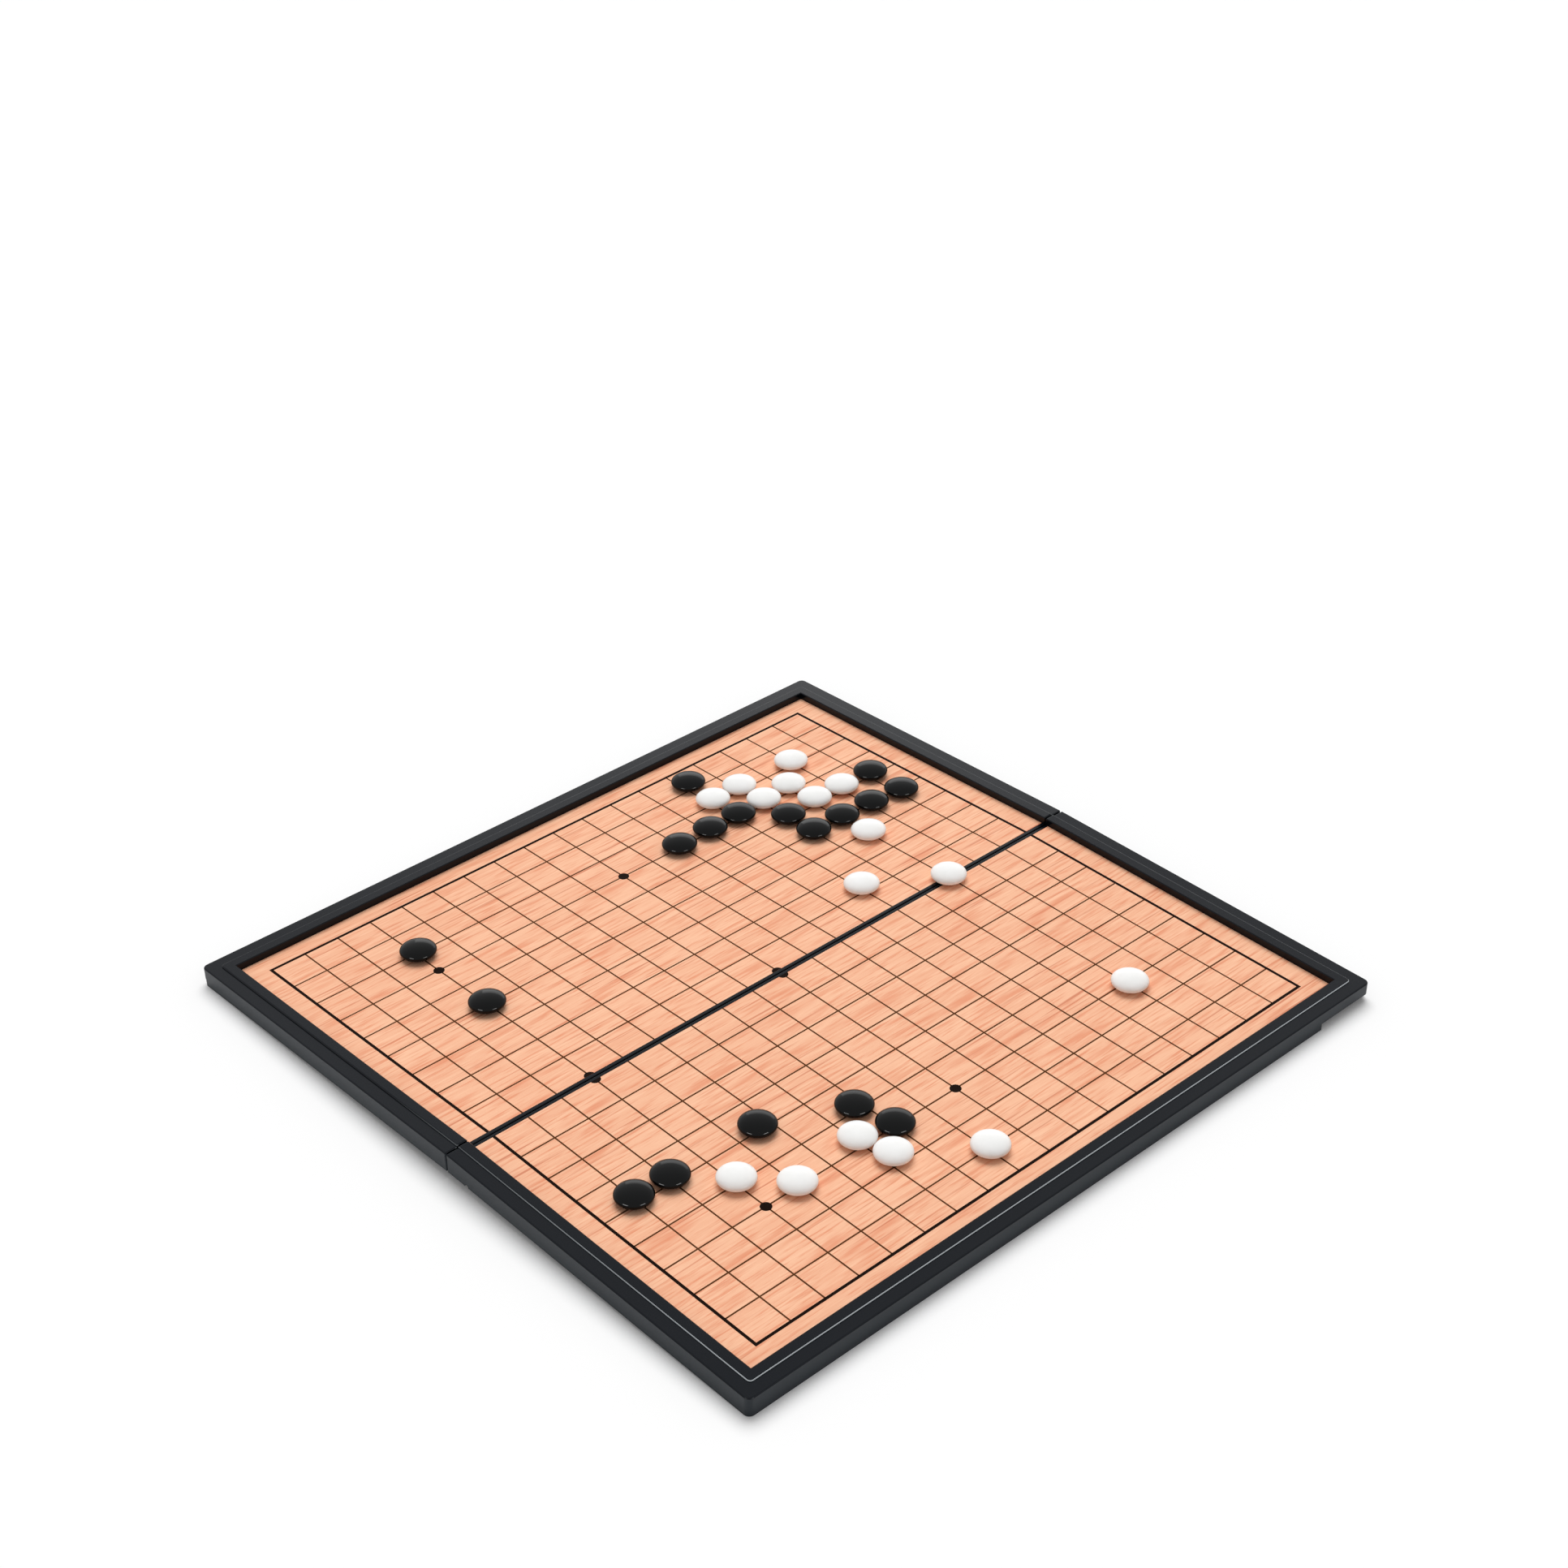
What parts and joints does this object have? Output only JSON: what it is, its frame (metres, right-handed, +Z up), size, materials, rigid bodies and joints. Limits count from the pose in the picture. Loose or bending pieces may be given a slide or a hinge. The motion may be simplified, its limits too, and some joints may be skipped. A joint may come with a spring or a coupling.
{
  "type": "folding go board",
  "caption": "Square folding go board: hinged black plastic halves with raised rims, wood-grain sheets, printed grid and loose magnetic black and white stones.",
  "frame": {"origin": "middle of the board's outline on the table, under the middle of the seam", "axes": "+X along the seam and the hinge pins, +Y from the near half to the far half, +Z up from the table"},
  "size_m": [0.288, 0.2882, 0.0128],
  "materials": {
    "rim_plastic": "fine satin black moulding",
    "wood_print": "printed sheet with a pale peach wood grain",
    "grid_ink": "dark brown printing ink",
    "plate_steel": "thin plain steel sheet",
    "pin_steel": "drawn steel wire",
    "magnet_metal": "plated disc magnet",
    "black_stone_plastic": "glossy black",
    "white_stone_plastic": "glossy white"
  },
  "bodies": {
    "near_half": {"near_half_shell": "rim_plastic", "near_steel_plate": "plate_steel", "near_play_sheet": "wood_print", "near_grid_print": "grid_ink", "near_closing_magnets": "magnet_metal", "left_hinge_pin": "pin_steel", "right_hinge_pin": "pin_steel"},
    "far_half": {"far_half_shell": "rim_plastic", "far_steel_plate": "plate_steel", "far_play_sheet": "wood_print", "far_grid_print": "grid_ink", "far_closing_magnets": "magnet_metal"},
    "black_stone_01": {"black_stone_01": "black_stone_plastic"},
    "black_stone_02": {"black_stone_02": "black_stone_plastic"},
    "black_stone_03": {"black_stone_03": "black_stone_plastic"},
    "black_stone_04": {"black_stone_04": "black_stone_plastic"},
    "black_stone_05": {"black_stone_05": "black_stone_plastic"},
    "black_stone_06": {"black_stone_06": "black_stone_plastic"},
    "black_stone_07": {"black_stone_07": "black_stone_plastic"},
    "black_stone_08": {"black_stone_08": "black_stone_plastic"},
    "black_stone_09": {"black_stone_09": "black_stone_plastic"},
    "black_stone_10": {"black_stone_10": "black_stone_plastic"},
    "black_stone_11": {"black_stone_11": "black_stone_plastic"},
    "black_stone_12": {"black_stone_12": "black_stone_plastic"},
    "black_stone_13": {"black_stone_13": "black_stone_plastic"},
    "black_stone_14": {"black_stone_14": "black_stone_plastic"},
    "black_stone_15": {"black_stone_15": "black_stone_plastic"},
    "black_stone_16": {"black_stone_16": "black_stone_plastic"},
    "black_stone_17": {"black_stone_17": "black_stone_plastic"},
    "white_stone_01": {"white_stone_01": "white_stone_plastic"},
    "white_stone_02": {"white_stone_02": "white_stone_plastic"},
    "white_stone_03": {"white_stone_03": "white_stone_plastic"},
    "white_stone_04": {"white_stone_04": "white_stone_plastic"},
    "white_stone_05": {"white_stone_05": "white_stone_plastic"},
    "white_stone_06": {"white_stone_06": "white_stone_plastic"},
    "white_stone_07": {"white_stone_07": "white_stone_plastic"},
    "white_stone_08": {"white_stone_08": "white_stone_plastic"},
    "white_stone_09": {"white_stone_09": "white_stone_plastic"},
    "white_stone_10": {"white_stone_10": "white_stone_plastic"},
    "white_stone_11": {"white_stone_11": "white_stone_plastic"},
    "white_stone_12": {"white_stone_12": "white_stone_plastic"},
    "white_stone_13": {"white_stone_13": "white_stone_plastic"},
    "white_stone_14": {"white_stone_14": "white_stone_plastic"},
    "white_stone_15": {"white_stone_15": "white_stone_plastic"},
    "white_stone_16": {"white_stone_16": "white_stone_plastic"}
  },
  "joints": [
    {"name": "board_fold", "type": "hinge", "parent": "near_half", "child": "far_half", "pos_m": [0, 0, 0.0027], "axis": [-1, 0, 0], "range_deg": [-2.27, 177.73]},
    {"name": "stone_black_01_lift", "type": "slide", "parent": "far_half", "child": "black_stone_01", "axis": [0, 0.0198, 0.9998], "range_m": [0, 0.02]},
    {"name": "stone_black_02_lift", "type": "slide", "parent": "far_half", "child": "black_stone_02", "axis": [0, 0.0198, 0.9998], "range_m": [0, 0.02]},
    {"name": "stone_black_03_lift", "type": "slide", "parent": "far_half", "child": "black_stone_03", "axis": [0, 0.0198, 0.9998], "range_m": [0, 0.02]},
    {"name": "stone_black_04_lift", "type": "slide", "parent": "far_half", "child": "black_stone_04", "axis": [0, 0.0198, 0.9998], "range_m": [0, 0.02]},
    {"name": "stone_black_05_lift", "type": "slide", "parent": "far_half", "child": "black_stone_05", "axis": [0, 0.0198, 0.9998], "range_m": [0, 0.02]},
    {"name": "stone_black_06_lift", "type": "slide", "parent": "far_half", "child": "black_stone_06", "axis": [0, 0.0198, 0.9998], "range_m": [0, 0.02]},
    {"name": "stone_black_07_lift", "type": "slide", "parent": "far_half", "child": "black_stone_07", "axis": [0, 0.0198, 0.9998], "range_m": [0, 0.02]},
    {"name": "stone_black_08_lift", "type": "slide", "parent": "far_half", "child": "black_stone_08", "axis": [0, 0.0198, 0.9998], "range_m": [0, 0.02]},
    {"name": "stone_black_09_lift", "type": "slide", "parent": "far_half", "child": "black_stone_09", "axis": [0, 0.0198, 0.9998], "range_m": [0, 0.02]},
    {"name": "stone_black_10_lift", "type": "slide", "parent": "far_half", "child": "black_stone_10", "axis": [0, 0.0198, 0.9998], "range_m": [0, 0.02]},
    {"name": "stone_black_11_lift", "type": "slide", "parent": "far_half", "child": "black_stone_11", "axis": [0, 0.0198, 0.9998], "range_m": [0, 0.02]},
    {"name": "stone_black_12_lift", "type": "slide", "parent": "far_half", "child": "black_stone_12", "axis": [0, 0.0198, 0.9998], "range_m": [0, 0.02]},
    {"name": "stone_black_13_lift", "type": "slide", "parent": "near_half", "child": "black_stone_13", "axis": [0, -0.0198, 0.9998], "range_m": [0, 0.02]},
    {"name": "stone_black_14_lift", "type": "slide", "parent": "near_half", "child": "black_stone_14", "axis": [0, -0.0198, 0.9998], "range_m": [0, 0.02]},
    {"name": "stone_black_15_lift", "type": "slide", "parent": "near_half", "child": "black_stone_15", "axis": [0, -0.0198, 0.9998], "range_m": [0, 0.02]},
    {"name": "stone_black_16_lift", "type": "slide", "parent": "near_half", "child": "black_stone_16", "axis": [0, -0.0198, 0.9998], "range_m": [0, 0.02]},
    {"name": "stone_black_17_lift", "type": "slide", "parent": "near_half", "child": "black_stone_17", "axis": [0, -0.0198, 0.9998], "range_m": [0, 0.02]},
    {"name": "stone_white_01_lift", "type": "slide", "parent": "far_half", "child": "white_stone_01", "axis": [0, 0.0198, 0.9998], "range_m": [0, 0.02]},
    {"name": "stone_white_02_lift", "type": "slide", "parent": "far_half", "child": "white_stone_02", "axis": [0, 0.0198, 0.9998], "range_m": [0, 0.02]},
    {"name": "stone_white_03_lift", "type": "slide", "parent": "far_half", "child": "white_stone_03", "axis": [0, 0.0198, 0.9998], "range_m": [0, 0.02]},
    {"name": "stone_white_04_lift", "type": "slide", "parent": "far_half", "child": "white_stone_04", "axis": [0, 0.0198, 0.9998], "range_m": [0, 0.02]},
    {"name": "stone_white_05_lift", "type": "slide", "parent": "far_half", "child": "white_stone_05", "axis": [0, 0.0198, 0.9998], "range_m": [0, 0.02]},
    {"name": "stone_white_06_lift", "type": "slide", "parent": "far_half", "child": "white_stone_06", "axis": [0, 0.0198, 0.9998], "range_m": [0, 0.02]},
    {"name": "stone_white_07_lift", "type": "slide", "parent": "far_half", "child": "white_stone_07", "axis": [0, 0.0198, 0.9998], "range_m": [0, 0.02]},
    {"name": "stone_white_08_lift", "type": "slide", "parent": "far_half", "child": "white_stone_08", "axis": [0, 0.0198, 0.9998], "range_m": [0, 0.02]},
    {"name": "stone_white_09_lift", "type": "slide", "parent": "far_half", "child": "white_stone_09", "axis": [0, 0.0198, 0.9998], "range_m": [0, 0.02]},
    {"name": "stone_white_10_lift", "type": "slide", "parent": "near_half", "child": "white_stone_10", "axis": [0, -0.0198, 0.9998], "range_m": [0, 0.02]},
    {"name": "stone_white_11_lift", "type": "slide", "parent": "near_half", "child": "white_stone_11", "axis": [0, -0.0198, 0.9998], "range_m": [0, 0.02]},
    {"name": "stone_white_12_lift", "type": "slide", "parent": "near_half", "child": "white_stone_12", "axis": [0, -0.0198, 0.9998], "range_m": [0, 0.02]},
    {"name": "stone_white_13_lift", "type": "slide", "parent": "near_half", "child": "white_stone_13", "axis": [0, -0.0198, 0.9998], "range_m": [0, 0.02]},
    {"name": "stone_white_14_lift", "type": "slide", "parent": "near_half", "child": "white_stone_14", "axis": [0, -0.0198, 0.9998], "range_m": [0, 0.02]},
    {"name": "stone_white_15_lift", "type": "slide", "parent": "near_half", "child": "white_stone_15", "axis": [0, -0.0198, 0.9998], "range_m": [0, 0.02]},
    {"name": "stone_white_16_lift", "type": "slide", "parent": "near_half", "child": "white_stone_16", "axis": [0, -0.0198, 0.9998], "range_m": [0, 0.02]}
  ]
}
